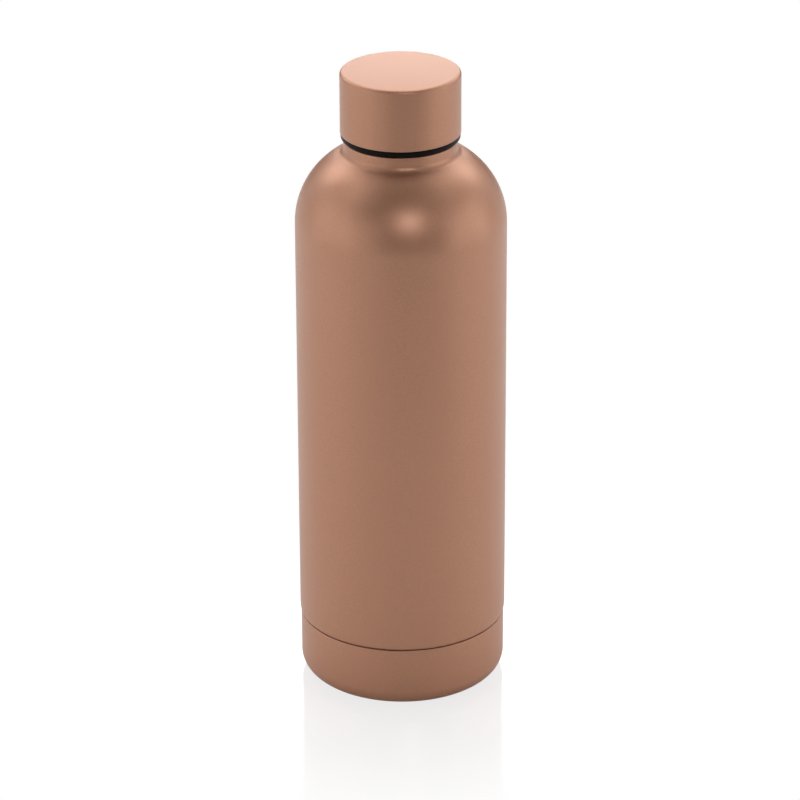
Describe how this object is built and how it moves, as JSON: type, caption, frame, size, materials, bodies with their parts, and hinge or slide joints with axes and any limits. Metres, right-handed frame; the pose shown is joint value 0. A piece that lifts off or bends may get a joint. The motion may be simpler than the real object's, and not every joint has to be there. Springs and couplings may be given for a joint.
{
  "type": "water bottle",
  "caption": "Double-wall vacuum water bottle in satin copper coating, with a screw-in stopper cap, a black band under the cap and a separate base cup.",
  "frame": {"origin": "middle of the base, on the surface that the bottle stands on", "axes": "+Z is the bottle's axis, from the base up to the cap; the getter lies on the +X side of the axis"},
  "size_m": [0.071, 0.071, 0.2191],
  "materials": {
    "copper_coat": "satin",
    "stainless_steel": "satin",
    "copper_foil": "polished",
    "glass_bead": "gloss",
    "getter_powder": "matte",
    "adhesive": "satin",
    "silicone": "matte",
    "black_plastic": "gloss",
    "white_foam": "matte"
  },
  "bodies": {
    "bottle": {"outer_shell": "copper_coat", "inner_liner": "stainless_steel", "liner_bottom": "stainless_steel", "copper_foil_wrap": "copper_foil", "vacuum_base": "stainless_steel", "vacuum_seal_bead": "glass_bead", "getter_clip": "stainless_steel", "getter_pellet": "getter_powder", "base_cup": "copper_coat", "base_adhesive_ring": "adhesive"},
    "seal": {"seal_ring": "silicone"},
    "cap": {"stopper_core": "black_plastic", "insulation_plug": "white_foam", "core_cover": "black_plastic", "cap_adhesive_pad": "adhesive", "cap_shell": "copper_coat"}
  },
  "joints": [
    {"name": "cap_lift", "type": "slide", "parent": "bottle", "child": "seal", "axis": [0, 0, 1], "range_m": [0, 0.0165]},
    {"name": "cap_turn", "type": "hinge", "parent": "seal", "child": "cap", "pos_m": [0, 0, 0.2], "axis": [0, 0, 1], "range_deg": [0, 990]}
  ],
  "couplings": [
    {"joint": "cap_lift", "follows": "cap_turn", "m_per_rad": 0.00095493}
  ]
}
